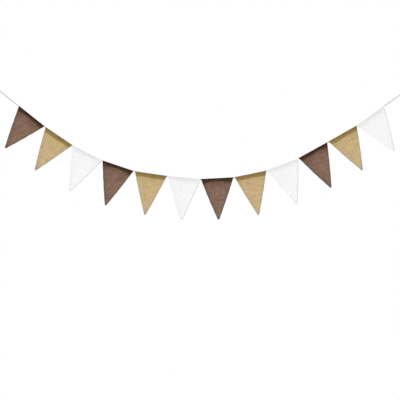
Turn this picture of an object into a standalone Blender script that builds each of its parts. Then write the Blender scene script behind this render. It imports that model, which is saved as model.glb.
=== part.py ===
"""A hanging string of cloth bunting.

Pointed pennants of single cloth hang from one thin cord. The top of each is folded to the back over the
cord and sewn down, so the fold is a casing and the flap behind it ends a little lower, in an uneven edge.
Each end of the cord is tied back in a loop. The string lies in the X-Z plane with its face towards -Y: +X
runs from the left loop to the right one, and the origin is the spot inside the left loop where a hook bears.
Lengths are in metres.
"""

import math
from dataclasses import dataclass

import bmesh
import bpy
import numpy as np
from mathutils import Vector

# Driving dimensions
CORD_DIAMETER = 0.0035
TIP_WIDTH = 0.0065
SIDE_BULGE = 0.0017
CLOTH_THICKNESS = 0.0012
PLAY = 0.0004
SEAM_DEPTH = 0.0095
FLAP_UNEVEN = 0.0012
FLAP_LIFT = 0.0007

FLAP_WAVES = 5.0
RIPPLE_WAVES = 4.2

KNOT_LENGTH = 0.015
KNOT_RADIUS = 0.0056
KNOT_TAPER = 0.34
KNOT_WRAPS = 4
WRAP_RELIEF = 0.0005
LOOP_REACH = 0.04825
LOOP_SWELL = 0.017
FREE_END = 0.012
FREE_END_OFFSET = 0.0026
FREE_END_SPREAD = 0.007
FREE_END_BEHIND = 0.0014

# What follows from them
CORD_RADIUS = CORD_DIAMETER / 2
CASING_RADIUS = CORD_RADIUS + PLAY + CLOTH_THICKNESS / 2
LAYER_PITCH = CLOTH_THICKNESS + PLAY
TOUCHING_GAP = 0.0003

# Mesh steps
COLUMNS = 8
BODY_ROWS = 7
NECK_ROWS = 2
FOLD_ROWS = 6
FLAP_ROWS = 1
CASING_STEPS = 4
GAP_STEPS = 2
TAIL_STEPS = 4
KNOT_STEPS = 16
KNOT_SIDES = 12
LOOP_STEPS = 24
FREE_END_STEPS = 3

# The cord's route as (x, z): the left knot, the middle of each gap between pennants, the right knot.
ROUTE = [
    (0.0361, -0.0293),
    (0.1427, -0.1158),
    (0.2682, -0.2154),
    (0.3970, -0.3028),
    (0.5345, -0.3729),
    (0.6866, -0.4239),
    (0.8421, -0.4466),
    (0.9970, -0.4613),
    (1.1548, -0.4526),
    (1.3088, -0.4209),
    (1.4554, -0.3640),
    (1.5958, -0.2860),
    (1.7323, -0.2089),
    (1.8555, -0.1187),
    (1.9547, -0.0481),
]


@dataclass
class Cut:
    """How one cloth is cut and threaded.

    width is taken at the casing and drop from the cord to the tip. The flap is flap_depth deep at the sides,
    and its edge rises by flap_arch to the middle. shift moves the casing along the cord.
    """

    width: float
    drop: float
    flap_depth: float
    flap_arch: float
    shift: float


CUTS = {
    "brown": Cut(width=0.1515, drop=0.1920, flap_depth=0.0195, flap_arch=0.0070, shift=-0.0007),
    "tan": Cut(width=0.1500, drop=0.1935, flap_depth=0.0185, flap_arch=0.0010, shift=0.0),
    "white": Cut(width=0.1550, drop=0.1965, flap_depth=0.0175, flap_arch=0.0010, shift=0.0008),
}


@dataclass
class Hang:
    """How one pennant hangs: lean moves its tip along the cord, swing and belly to front or back."""

    cloth: str
    lean: float
    swing: float
    belly: float
    ripple: float
    phase: float


PENNANTS = [
    Hang("brown", lean=-0.004, swing=-0.004, belly=0.003, ripple=0.0016, phase=0.4),
    Hang("tan", lean=-0.003, swing=0.003, belly=-0.002, ripple=0.0020, phase=1.9),
    Hang("white", lean=0.006, swing=0.002, belly=0.002, ripple=0.0022, phase=3.1),
    Hang("brown", lean=0.003, swing=-0.003, belly=0.003, ripple=0.0018, phase=4.6),
    Hang("tan", lean=0.000, swing=0.004, belly=-0.003, ripple=0.0016, phase=0.9),
    Hang("white", lean=0.005, swing=-0.002, belly=0.002, ripple=0.0024, phase=2.4),
    Hang("brown", lean=-0.004, swing=0.002, belly=-0.003, ripple=0.0018, phase=5.3),
    Hang("tan", lean=-0.002, swing=-0.004, belly=0.002, ripple=0.0020, phase=3.7),
    Hang("white", lean=-0.006, swing=0.003, belly=-0.002, ripple=0.0022, phase=1.2),
    Hang("brown", lean=-0.011, swing=-0.002, belly=0.003, ripple=0.0016, phase=2.9),
    Hang("tan", lean=-0.003, swing=0.004, belly=-0.002, ripple=0.0018, phase=4.1),
    Hang("white", lean=-0.008, swing=-0.003, belly=0.002, ripple=0.0022, phase=5.8),
]

COLOURS = {
    "brown": (0.225, 0.128, 0.090, 1.0),
    "tan": (0.560, 0.405, 0.200, 1.0),
    "white": (0.880, 0.880, 0.880, 1.0),
    "cord": (0.430, 0.423, 0.410, 1.0),
}


def clear_scene():
    for obj in list(bpy.data.objects):
        bpy.data.objects.remove(obj, do_unlink=True)


def new_collection(name):
    collection = bpy.data.collections.new(name)
    bpy.context.scene.collection.children.link(collection)
    return collection


def cloth_material(name):
    material = bpy.data.materials.new(name)
    material.use_nodes = True
    shader = material.node_tree.nodes["Principled BSDF"]
    shader.inputs["Base Color"].default_value = COLOURS[name]
    shader.inputs["Roughness"].default_value = 0.9
    shader.inputs["Metallic"].default_value = 0.0
    return material


def casing_ends(route):
    """The two ends of each pennant's casing, which lies near the middle of its stretch of the route."""
    ends = []
    for hang, start, stop in zip(PENNANTS, route[1:-2], route[2:-1]):
        cut = CUTS[hang.cloth]
        along = (stop - start).normalized()
        middle = (start + stop) / 2 + along * cut.shift
        ends.append((middle - along * cut.width / 2, middle + along * cut.width / 2))
    return ends


def smooth_stretch(before, start, stop, after, steps):
    """Points from start, included, to stop, left out, on the curve that passes smoothly through all four.

    It is a centripetal Catmull-Rom curve: the spacing of its knots is the square root of each distance.
    """
    knots = [0.0]
    for a, b in ((before, start), (start, stop), (stop, after)):
        knots.append(knots[-1] + math.sqrt((b - a).length))
    k0, k1, k2, k3 = knots
    points = []
    for step in range(steps):
        t = k1 + (k2 - k1) * step / steps
        a1 = before.lerp(start, (t - k0) / (k1 - k0))
        a2 = start.lerp(stop, (t - k1) / (k2 - k1))
        a3 = stop.lerp(after, (t - k2) / (k3 - k2))
        b1 = a1.lerp(a2, (t - k0) / (k2 - k0))
        b2 = a2.lerp(a3, (t - k1) / (k3 - k1))
        points.append(b1.lerp(b2, (t - k1) / (k2 - k1)))
    return points


def cord_line():
    """The cord's centreline from knot to knot, and the places in it where each casing starts and stops."""
    route = [Vector((x, 0.0, z)) for x, z in ROUTE]
    marks = [route[0]]
    for left, right in casing_ends(route):
        marks += [left, right]
    marks.append(route[-1])
    guides = [2 * marks[0] - marks[1], *marks, 2 * marks[-1] - marks[-2]]
    line, casings = [], []
    for index in range(len(marks) - 1):
        tail = index in (0, len(marks) - 2)
        cased = index % 2 == 1
        steps = TAIL_STEPS if tail else CASING_STEPS if cased else GAP_STEPS
        if cased:
            casings.append((len(line), len(line) + steps))
        line += smooth_stretch(*guides[index : index + 4], steps)
    line.append(marks[-1])
    return line, casings


def tube(name, points, radius, collection):
    """A round cord along the points, closed at both ends."""
    curve = bpy.data.curves.new(name, "CURVE")
    curve.dimensions = "3D"
    curve.bevel_depth = radius
    curve.bevel_resolution = 2
    curve.use_fill_caps = True
    spline = curve.splines.new("POLY")
    spline.points.add(len(points) - 1)
    for place, point in zip(spline.points, points):
        place.co = (*point, 1.0)
    obj = bpy.data.objects.new(name, curve)
    collection.objects.link(obj)
    return obj


def tube_mesh(name, points, radius, collection):
    """The same cord as a closed mesh that a Boolean can join."""
    guide = tube(name, points, radius, collection)
    bpy.context.view_layer.update()
    evaluated = guide.evaluated_get(bpy.context.evaluated_depsgraph_get())
    mesh = bpy.data.meshes.new_from_object(evaluated)
    shape = bmesh.new()
    shape.from_mesh(mesh)
    bmesh.ops.remove_doubles(shape, verts=shape.verts, dist=0.00001)
    shape.to_mesh(mesh)
    shape.free()
    obj = bpy.data.objects.new(name + "_mesh", mesh)
    obj.matrix_world = guide.matrix_world
    bpy.data.objects.remove(guide, do_unlink=True)
    collection.objects.link(obj)
    obj.hide_render = True
    obj.display_type = "WIRE"
    return obj


def side_profile(cut):
    """The pennant seen from its end, as rows of (y, z): up the front, over the cord and down the flap."""
    rows = []
    for row in range(BODY_ROWS + 1):
        depth = cut.drop + (SEAM_DEPTH - cut.drop) * row / BODY_ROWS
        rows.append((-LAYER_PITCH / 2, -depth))
    neck = []
    for row in range(1, NECK_ROWS):
        share = row / NECK_ROWS
        ease = share * share * (3 - 2 * share)
        away = LAYER_PITCH / 2 + (CASING_RADIUS - LAYER_PITCH / 2) * ease
        neck.append((away, -SEAM_DEPTH * (1 - share)))
    rows += [(-y, z) for y, z in neck]
    for row in range(FOLD_ROWS + 1):
        turn = math.pi * (1 - row / FOLD_ROWS)
        rows.append((CASING_RADIUS * math.cos(turn), CASING_RADIUS * math.sin(turn)))
    rows += reversed(neck)
    for row in range(FLAP_ROWS + 1):
        share = row / FLAP_ROWS
        away = LAYER_PITCH / 2 + FLAP_LIFT * share
        rows.append((away, -SEAM_DEPTH - (cut.flap_depth - SEAM_DEPTH) * share))
    return np.array(rows)


def pennant_points(across, row, hang, bow_x, bow_z):
    """Where the cloth's points lie, in a frame with x along the casing, y to the back and z up from the cord.

    across runs from -1 to 1 over the width, and row counts along the side profile. The width narrows from the
    casing to the tip with sides that bulge a little, and the flap has the front's slant. The fold follows the
    cord's own small bow, which fades out down to the tip. The cloth sways with the depth, bellies in between,
    and ripples across.
    """
    cut = CUTS[hang.cloth]
    profile = side_profile(cut)
    y, z = profile[row, 0].copy(), profile[row, 1].copy()
    flap_edge = row == len(profile) - 1
    uneven = FLAP_UNEVEN * np.sin(FLAP_WAVES * across + hang.phase)
    z += flap_edge * (cut.flap_arch * (1 - across**2) - uneven)
    depth = np.clip(-z, 0.0, None)
    share = depth / cut.drop
    half = (cut.width + (TIP_WIDTH - cut.width) * share) / 2 + SIDE_BULGE * np.sin(math.pi * share)
    x = across * half
    z += np.interp(x, bow_x, bow_z) * (1 - share)
    x += hang.lean * share
    y += hang.swing * share
    y += hang.belly * np.sin(math.pi * share) * (1 - 0.6 * across**2)
    y += hang.ripple * share * (1.3 - share) * np.sin(RIPPLE_WAVES * across + hang.phase)
    return np.stack([x, y, z], axis=1)


def pennant(number, hang, stretch, collection, material):
    """One pennant, placed on the middle of its stretch of cord and turned along it."""
    start, stop = stretch[0], stretch[-1]
    middle = (start + stop) / 2
    slope = math.atan2(stop.z - start.z, stop.x - start.x)
    along = Vector((math.cos(slope), 0.0, math.sin(slope)))
    up = Vector((-math.sin(slope), 0.0, math.cos(slope)))
    bow_x = [(point - middle).dot(along) for point in stretch]
    bow_z = [(point - middle).dot(up) for point in stretch]

    rows = len(side_profile(CUTS[hang.cloth])) - 1
    bpy.ops.mesh.primitive_grid_add(x_subdivisions=COLUMNS, y_subdivisions=rows, size=2)
    obj = bpy.context.object
    obj.name = f"pennant_{number:02d}_{hang.cloth}"
    obj.data.name = obj.name
    for linked in obj.users_collection:
        linked.objects.unlink(obj)
    collection.objects.link(obj)

    grid = np.empty(len(obj.data.vertices) * 3)
    obj.data.vertices.foreach_get("co", grid)
    grid = grid.reshape(-1, 3)
    row = np.rint((grid[:, 1] + 1) / 2 * rows).astype(int)
    shaped = pennant_points(grid[:, 0], row, hang, bow_x, bow_z)
    obj.data.vertices.foreach_set("co", shaped.ravel())
    obj.data.update()
    obj.data.shade_smooth()

    skin = obj.modifiers.new("cloth", "SOLIDIFY")
    skin.thickness = CLOTH_THICKNESS
    skin.offset = 0.0
    skin.use_even_offset = True
    obj.data.materials.append(material)
    obj.location = middle
    obj.rotation_euler = (0.0, -slope, 0.0)
    return obj


def knot_profile():
    """The knot's outer side from outward end to inward one, as (radius, height): wraps on a barrel."""
    half = KNOT_LENGTH / 2
    points = [(0.0, half)]
    for step in range(KNOT_STEPS + 1):
        share = step / KNOT_STEPS
        away = 2 * share - 1
        barrel = KNOT_RADIUS * (1 - KNOT_TAPER * away**4)
        wrap = WRAP_RELIEF * math.cos(math.tau * KNOT_WRAPS * share)
        points.append((barrel - WRAP_RELIEF - wrap, half - KNOT_LENGTH * share))
    points.append((0.0, -half))
    return points


def loop_path():
    """The loop's centreline in the knot's frame: a drop whose two ends start inside the knot.

    Over one turn t the distance from the knot goes with the square of sin(t/2), and the width with sin(t)
    times sin(t/2).
    """
    root = KNOT_LENGTH / 4
    path = []
    for step in range(LOOP_STEPS + 1):
        t = math.tau * (0.04 + 0.92 * step / LOOP_STEPS)
        swell = math.sin(t / 2)
        path.append(Vector((LOOP_SWELL * math.sin(t) * swell, 0.0, root + (LOOP_REACH - root) * swell**2)))
    return path


def free_end_path(side):
    """The free end's centreline in the knot's frame: back beside the cord and away from it, to one side."""
    root = KNOT_LENGTH / 4
    path = []
    for step in range(FREE_END_STEPS + 1):
        share = step / FREE_END_STEPS
        away = FREE_END_OFFSET + FREE_END_SPREAD * share**1.5
        path.append(Vector((side * away, FREE_END_BEHIND, -root - (root + FREE_END) * share)))
    return path


def end_loop(name, knot, outward, collection, helpers, material):
    """The tied end of the cord in one solid: the knot, the drop-shaped loop outside it and the free end.

    outward is the direction in which the cord's end pulls, and the object's z lies along it. The free end is
    on the lower side, which is +x for a cord that pulls to +X and -x for one that pulls to -X.
    """
    points = knot_profile()
    mesh = bpy.data.meshes.new(name)
    mesh.from_pydata([(r, 0.0, h) for r, h in points], [(i, i + 1) for i in range(len(points) - 1)], [])
    obj = bpy.data.objects.new(name, mesh)
    collection.objects.link(obj)
    turned = obj.modifiers.new("turned", "SCREW")
    turned.steps = KNOT_SIDES
    turned.render_steps = KNOT_SIDES
    turned.use_merge_vertices = True
    turned.merge_threshold = 0.00001
    turned.use_normal_calculate = True
    obj.location = knot
    obj.rotation_euler = (0.0, math.atan2(outward.x, outward.z), 0.0)
    bpy.context.view_layer.update()
    lower = math.copysign(1.0, outward.x)
    for label, path in (("loop", loop_path()), ("free_end", free_end_path(lower))):
        piece = tube_mesh(f"{name}_{label}", path, CORD_RADIUS, helpers)
        piece.matrix_world = obj.matrix_world
        join = obj.modifiers.new(label, "BOOLEAN")
        join.operation = "UNION"
        join.object = piece
    obj.data.materials.append(material)
    return obj


def build():
    clear_scene()
    bunting = new_collection("Bunting")
    helpers = new_collection("Bunting helpers")
    materials = {name: cloth_material(name) for name in COLOURS}
    line, casings = cord_line()

    for number, (hang, (start, stop)) in enumerate(zip(PENNANTS, casings), start=1):
        pennant(number, hang, line[start : stop + 1], bunting, materials[hang.cloth])

    left, right = line[0], line[-1]
    left_pull = (line[0] - line[1]).normalized()
    right_pull = (line[-1] - line[-2]).normalized()
    back = KNOT_LENGTH / 2 + TOUCHING_GAP
    run = [left - left_pull * back, *line[1:-1], right - right_pull * back]
    cord = tube("cord", run, CORD_RADIUS, bunting)
    cord.data.materials.append(materials["cord"])

    end_loop("left_loop", left, left_pull, bunting, helpers, materials["cord"])
    end_loop("right_loop", right, right_pull, bunting, helpers, materials["cord"])


if __name__ == "__main__":
    build()
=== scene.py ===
"""Looks of a hanging string of cloth bunting: pointed pennants sewn over one thin twisted cord.

Lengths are in metres, in the row frame of the CAD: the string lies in the X-Z plane with its face towards -Y.
"""

import logging
import math
from dataclasses import dataclass, field
from enum import Enum
from functools import cache

import bpy
import numpy as np
from bpy.types import ID, Material, Node, NodeSocket, NodeTree, Object, bpy_prop_collection
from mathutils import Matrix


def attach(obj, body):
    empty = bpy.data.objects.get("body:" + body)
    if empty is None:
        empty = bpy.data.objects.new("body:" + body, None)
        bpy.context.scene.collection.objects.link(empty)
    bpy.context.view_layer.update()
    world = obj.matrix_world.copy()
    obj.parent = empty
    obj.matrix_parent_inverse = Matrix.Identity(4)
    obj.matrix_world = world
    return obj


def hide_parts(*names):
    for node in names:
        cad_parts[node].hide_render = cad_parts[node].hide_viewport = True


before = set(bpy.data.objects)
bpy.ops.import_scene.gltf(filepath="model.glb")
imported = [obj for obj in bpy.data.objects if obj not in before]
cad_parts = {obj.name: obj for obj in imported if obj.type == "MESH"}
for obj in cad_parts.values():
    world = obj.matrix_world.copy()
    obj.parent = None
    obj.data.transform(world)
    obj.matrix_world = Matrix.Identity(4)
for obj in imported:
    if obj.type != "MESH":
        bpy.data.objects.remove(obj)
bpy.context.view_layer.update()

log = logging.getLogger("bunting")

Array = np.ndarray

METRES_PER_PIXEL = 4.6875e-3
PHOTO_PIXELS = 400
LEFT_PIXEL_OF_ORIGIN = -12.203
UPPER_PIXEL_OF_ORIGIN = 81.25


# Meshes


@dataclass
class MeshParts:
    """Points and faces that grow into one mesh, with a UV pair for each corner and values for each point."""

    points: list[Array] = field(default_factory=list)
    faces: list[Array] = field(default_factory=list)
    corner_uvs: list[Array] = field(default_factory=list)
    values: dict[str, list[Array]] = field(default_factory=dict)
    count: int = 0

    def add(self, points: Array, faces: list[Array], corner_uvs: list[Array], **values: Array) -> None:
        """Add one shape.

        Args:
            points: Its points, whose last axis holds x, y and z.
            faces: Arrays of point numbers, one row for a face, all rows of an array of one length.
            corner_uvs: For each array of faces, its UV pairs, one for each corner.
            values: For each attribute, one number for each point.
        """
        self.points.append(points.reshape(-1, 3))
        self.faces += [part + self.count for part in faces]
        self.corner_uvs += [pairs.reshape(-1, 2) for pairs in corner_uvs]
        for name, numbers in values.items():
            self.values.setdefault(name, []).append(numbers)
        self.count += len(self.points[-1])

    def to_object(self, name: str, material: Material) -> Object:
        """Make the mesh and its object, smooth and dressed.

        Args:
            name: Name of the object and the mesh.
            material: What the whole piece is finished with.

        Returns:
            The object, linked to the scene.
        """
        mesh = bpy.data.meshes.new(name)
        faces = [face for part in self.faces for face in part.tolist()]
        mesh.from_pydata(np.concatenate(self.points).tolist(), [], faces)
        uvs = mesh.uv_layers.new(name="flat")
        uvs.data.foreach_set("uv", np.concatenate(self.corner_uvs).astype(np.float32).ravel())
        for label, numbers in self.values.items():
            attribute = mesh.attributes.new(label, "FLOAT", "POINT")
            attribute.data.foreach_set("value", np.concatenate(numbers).astype(np.float32))
        mesh.shade_smooth()
        mesh.materials.append(material)
        return placed(name, mesh)


def placed(name: str, data: ID) -> Object:
    """Put a new object in the scene.

    Args:
        name: Its name.
        data: The mesh, camera or light that it shows.

    Returns:
        The object, at the origin.
    """
    obj = bpy.data.objects.new(name, data)
    bpy.context.scene.collection.objects.link(obj)
    return obj


def unit(vectors: Array) -> Array:
    """Each vector scaled to length 1."""
    return vectors / np.maximum(np.linalg.norm(vectors, axis=-1, keepdims=True), 1e-12)


def smoothstep(values: Array, low: float, high: float) -> Array:
    """Rise from 0 at low to 1 at high along 3t^2 - 2t^3."""
    t = np.clip((values - low) / (high - low), 0.0, 1.0)
    return t * t * (3 - 2 * t)


def quarter_round(distance: Array, radius: float, least: float = 0.0) -> Array:
    """Rise along a quarter circle from 0 at an edge to 1 at radius from it, never below the root of least."""
    t = np.clip(distance / radius, 0.0, 1.0)
    return np.sqrt(np.clip(1 - (1 - t) ** 2, least, 1.0))


def wave(places: Array, length: float, phase: Array | float) -> Array:
    """A sine with the given wavelength and phase."""
    return np.sin(math.tau * places / length + phase)


def read_along(places: Array, along: Array, values: Array) -> Array:
    """Each column of values, known at the distances along, read at the places by straight lines between."""
    return np.stack([np.interp(places, along, column) for column in values.T], axis=-1)


def grid_quads(index: Array) -> Array:
    """Quads of a grid of point numbers, turned so that columns cross rows gives the outward side.

    Args:
        index: Point numbers by row and column.

    Returns:
        One row of four point numbers for each quad.
    """
    corners = [index[:-1, :-1], index[:-1, 1:], index[1:, 1:], index[1:, :-1]]
    return np.stack(corners, axis=-1).reshape(-1, 4)


def grid_uvs(pairs: Array) -> Array:
    """UV pairs for the corners that grid_quads gives, from pairs by row and column."""
    corners = [pairs[:-1, :-1], pairs[:-1, 1:], pairs[1:, 1:], pairs[1:, :-1]]
    return np.stack(corners, axis=-2).reshape(-1, 4, 2)


def smooth_line(controls: Array, steps: list[int]) -> Array:
    """Points on the centripetal Catmull-Rom curve through the controls.

    The spacing of its knots is the square root of each distance, and beyond each end stands the neighbour's
    mirror image. Each stretch blends its four guides along straight lines, pair by pair, three times over. It
    is the curve that the CAD's cord follows.

    Args:
        controls: The points to pass through.
        steps: How many points each stretch gets.

    Returns:
        The curve's points, the last control included.
    """
    guides = np.vstack([2 * controls[0] - controls[1], controls, 2 * controls[-1] - controls[-2]])
    knots = np.concatenate([[0.0], np.cumsum(np.sqrt(np.linalg.norm(np.diff(guides, axis=0), axis=1)))])
    stretches = []
    for i, count in enumerate(steps):
        k = knots[i : i + 4]
        t = (k[1] + (k[2] - k[1]) * np.arange(count) / count)[:, None]
        points = list(guides[i : i + 4])
        for spans in (((0, 1), (1, 2), (2, 3)), ((0, 2), (1, 3)), ((1, 2),)):
            pairs = zip(spans, points, points[1:])
            points = [p + (q - p) * (t - k[a]) / (k[b] - k[a]) for (a, b), p, q in pairs]
        stretches += points
    return np.vstack([*stretches, controls[-1:]])


def distances(line: Array) -> Array:
    """Distance of each point from the first one along the line."""
    return np.concatenate([[0.0], np.cumsum(np.linalg.norm(np.diff(line, axis=0), axis=1))])


def even_line(line: Array, spacing: float) -> Array:
    """The same line with its points a whole number of equal steps apart.

    Args:
        line: The line.
        spacing: About how long a step is.

    Returns:
        The new points, both ends included.
    """
    along = distances(line)
    places = np.linspace(0.0, along[-1], max(2, round(along[-1] / spacing) + 1))
    return read_along(places, along, line)


def circled(centres: Array, first: Array, second: Array, angles: Array, sizes: Array) -> Array:
    """Points round each centre, sizes from it, at angles that turn from the first direction to the second."""
    way = np.cos(angles)[..., None] * first[..., None, :] + np.sin(angles)[..., None] * second[..., None, :]
    return centres[..., None, :] + sizes[..., None] * way


def carried_frames(line: Array) -> tuple[Array, Array]:
    """Two directions across a line at each point, carried along it without twist.

    Each pair is the last one with its part along the new tangent taken out.

    Args:
        line: The centreline.

    Returns:
        The first and second direction at each point.
    """
    tangents = unit(np.gradient(line, axis=0))
    first = np.empty_like(line)
    guide = np.array([0.0, 1.0, 0.0])
    if abs(tangents[0, 1]) > 0.9:
        guide = np.array([1.0, 0.0, 0.0])
    for i, tangent in enumerate(tangents):
        guide = guide - tangent * (guide @ tangent)
        guide = guide / np.linalg.norm(guide)
        first[i] = guide
    return first, np.cross(tangents, first)


# Nodes


class Wiring:
    """Adds nodes to one node tree and joins them in short calls."""

    def __init__(self, tree: NodeTree) -> None:
        """Start on a tree and clear what it holds."""
        self.tree = tree
        self.tree.nodes.clear()

    def node(self, kind: str, inputs: dict | None = None, **settings: object) -> Node:
        """Add a node.

        Args:
            kind: The node's type name without its ShaderNode prefix, or a group's own node's whole name.
            inputs: For each input's name or number, a socket to join or a value to set.
            settings: The node's own settings.

        Returns:
            The node.
        """
        name = kind if kind.startswith("NodeGroup") else f"ShaderNode{kind}"
        made = self.tree.nodes.new(name)
        for key, value in settings.items():
            setattr(made, key, value)
        for key, value in (inputs or {}).items():
            self.feed(made.inputs[key], value)
        return made

    def feed(self, target: NodeSocket, value: object) -> None:
        """Join a socket to an input, or set the input's own value.

        Args:
            target: The input.
            value: The socket, or the value to set.
        """
        if isinstance(value, NodeSocket):
            self.tree.links.new(value, target)
        else:
            target.default_value = value

    def flat(self) -> NodeSocket:
        """The piece's own flat UV."""
        return self.node("UVMap", uv_map="flat").outputs[0]

    def painted(self, name: str) -> NodeSocket:
        """A value that the piece holds for each of its points."""
        return self.node("Attribute", attribute_name=name).outputs["Fac"]

    def effect(self, tree: NodeTree, vector: NodeSocket, **amounts: float) -> bpy_prop_collection:
        """Place a shared effect over a vector, with its own values, and give its outputs."""
        return self.node("Group", {"Vector": vector, **amounts}, node_tree=tree).outputs

    def relief(self, height: NodeSocket, strength: float, distance: float) -> NodeSocket:
        """The normal of a surface with a fine relief."""
        return self.node("Bump", {"Height": height, "Strength": strength, "Distance": distance}).outputs[0]

    def surface(self, look: dict) -> NodeSocket:
        """A rough surface with the given look, as cloth, yarn and paper have."""
        return self.node("BsdfPrincipled", {"Specular IOR Level": 0.15, **look}).outputs[0]

    def calc(self, operation: str, first: object, second: object = 0.5, third: object = 0.5) -> NodeSocket:
        """A Math node's result."""
        inputs = {0: first, 1: second, 2: third}
        return self.node("Math", inputs, operation=operation).outputs[0]

    def blend(self, factor: object, first: object, second: object) -> NodeSocket:
        """A colour that goes from first to second as factor goes from 0 to 1."""
        return self.node("Mix", {0: factor, 6: first, 7: second}, data_type="RGBA").outputs[2]

    def scaled(self, colour: NodeSocket | tuple[float, float, float], factor: NodeSocket) -> NodeSocket:
        """A colour times a number."""
        return self.node("VectorMath", {0: colour, "Scale": factor}, operation="SCALE").outputs[0]

    def noise(
        self, vector: NodeSocket, scale: float, detail: float = 2.0, stretch: tuple[float, ...] = ()
    ) -> NodeSocket:
        """Noise from 0 to 1 over a flat vector.

        Args:
            vector: Where it is read.
            scale: How close its bumps lie.
            detail: How many finer layers it has.
            stretch: What its two ways are multiplied by: below 1 draws it out along that way.

        Returns:
            The noise.
        """
        if stretch:
            vector = self.node("VectorMath", {0: vector, 1: (*stretch, 1.0)}, operation="MULTIPLY").outputs[0]
        inputs = {"Vector": vector, "Scale": scale, "Detail": detail, "Roughness": 0.55}
        return self.node("TexNoise", inputs, noise_dimensions="2D").outputs["Fac"]

    def give(self, **results: NodeSocket) -> NodeTree:
        """End a group with its outputs.

        Args:
            results: For each output's name, the socket that it puts out.

        Returns:
            The group's tree.
        """
        for label in results:
            self.tree.interface.new_socket(label, in_out="OUTPUT", socket_type="NodeSocketFloat")
        self.node("NodeGroupOutput", results)
        return self.tree


def new_group(name: str, *numbers: str) -> tuple[Wiring, *tuple[NodeSocket, ...]]:
    """Start a shader node group that works over a vector.

    Args:
        name: The group's name.
        numbers: Names of its number inputs.

    Returns:
        The wiring on its tree, the vector's socket and a socket for each number.
    """
    tree = bpy.data.node_groups.new(name, "ShaderNodeTree")
    tree.interface.new_socket("Vector", in_out="INPUT", socket_type="NodeSocketVector")
    for label in numbers:
        tree.interface.new_socket(label, in_out="INPUT", socket_type="NodeSocketFloat")
    wiring = Wiring(tree)
    return wiring, *wiring.node("NodeGroupInput").outputs[: 1 + len(numbers)]


@cache
def plain_weave_group() -> NodeTree:
    """Plain weave over a flat UV in metres.

    Threads counts threads for each metre. Each thread is a rounded ridge, the size of a sine, and rises and
    falls by a cosine as it passes over one thread and under the next. Wander bends the threads with slow
    noise. Height is the higher of warp and weft, Openness is high where neither covers, which is where the
    cloth's material paints shade, and Tone differs from thread to thread and along it, for thick and thin
    places in the yarn.

    Returns:
        The group.
    """
    w, vector, threads, wander, slubs = new_group("plain_weave", "Threads", "Wander", "Slubs")
    flat = w.node("SeparateXYZ", {0: vector})
    places = []
    for axis, seed in ((0, 11.3), (1, 47.9)):
        shifted = w.node("VectorMath", {0: vector, 1: (seed, seed, 0.0)}, operation="ADD").outputs[0]
        bend = w.calc("SUBTRACT", w.noise(shifted, 90.0, 1.0), 0.5)
        count = w.calc("MULTIPLY", flat.outputs[axis], threads)
        places.append(w.calc("MULTIPLY_ADD", bend, wander, count))
    heights, uncovered, tones = [], [], []
    for here, other, sign in ((*places, 1.0), (*places[::-1], -1.0)):
        number = w.calc("FLOOR", here)
        ridge = w.calc("ABSOLUTE", w.calc("SINE", w.calc("MULTIPLY", here, math.pi)))
        offset = w.calc("SUBTRACT", w.calc("SUBTRACT", other, 0.5), number)
        crossing = w.calc("COSINE", w.calc("MULTIPLY", offset, math.pi))
        heights.append(w.calc("MULTIPLY", ridge, w.calc("MULTIPLY_ADD", crossing, 0.38 * sign, 0.62)))
        uncovered.append(w.calc("SUBTRACT", 1.0, ridge))
        thread = w.node("CombineXYZ", {0: number, 1: w.calc("MULTIPLY", other, 0.035)})
        tones.append(w.noise(thread.outputs[0], 0.83))
    on_top = w.calc("GREATER_THAN", *heights)
    tone = w.calc("MULTIPLY_ADD", on_top, w.calc("SUBTRACT", *tones), tones[1])
    return w.give(
        Height=w.calc("MAXIMUM", *heights),
        Openness=w.calc("POWER", w.calc("MULTIPLY", *uncovered), 1.4),
        Tone=w.calc("MULTIPLY_ADD", w.calc("SUBTRACT", tone, 0.5), slubs, 1.0),
    )


@cache
def mottling_group() -> NodeTree:
    """Unevenness of a whole cloth.

    Tone is a factor around 1 that goes Amount up and down: streaks along the warp and along the weft, from
    yarns thick and thin, over soft patches. Patch goes from 0 to 1 over other patches, for a second hue.

    Returns:
        The group.
    """
    w, vector, amount = new_group("mottling", "Amount")
    warp = w.noise(vector, 150.0, 3.0, (1.0, 0.14))
    weft = w.noise(vector, 150.0, 3.0, (0.14, 1.0))
    streaks = w.calc("ADD", w.calc("MULTIPLY", warp, 1.6), w.calc("MULTIPLY", weft, 1.4))
    swing = w.calc("SUBTRACT", w.calc("MULTIPLY_ADD", w.noise(vector, 34.0), 0.8, streaks), 1.9)
    elsewhere = w.node("VectorMath", {0: vector, 1: (7.7, 3.1, 0.0)}, operation="ADD").outputs[0]
    steps = {"Value": w.noise(elsewhere, 26.0, 3.0), "From Min": 0.36, "From Max": 0.64}
    patch = w.node("MapRange", steps, interpolation_type="SMOOTHSTEP")
    return w.give(Tone=w.calc("MULTIPLY_ADD", swing, amount, 1.0), Patch=patch.outputs[0])


@cache
def strand_fibre_group() -> NodeTree:
    """Fibres round a strand at a slant: noise drawn out along the lines where turn and length add up.

    The vector holds turns round the cord and metres along it. Height is the fibres' relief and Tone a factor
    around 1: painted shade, darker between the fibres where their relief sinks, and slow stains along the
    cord.

    Returns:
        The group.
    """
    w, vector, amount = new_group("strand_fibres", "Amount")
    turn, length = w.node("SeparateXYZ", {0: vector}).outputs[:2]
    across = w.calc("MULTIPLY", w.calc("MULTIPLY_ADD", length, 60.0, turn), 26.0)
    slanted = w.node("CombineXYZ", {0: across, 1: w.calc("MULTIPLY", length, 420.0)})
    fibres = w.noise(slanted.outputs[0], 1.0, 3.0, (1.0, 0.25))
    stains = w.noise(vector, 1.0, 2.0, (0.2, 22.0))
    # Painted shade between the fibres, where their relief is low, mixed with the stains' own tone.
    swing = w.calc("SUBTRACT", w.calc("ADD", fibres, stains), 1.0)
    return w.give(Height=fibres, Tone=w.calc("MULTIPLY_ADD", swing, amount, 1.0))


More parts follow.
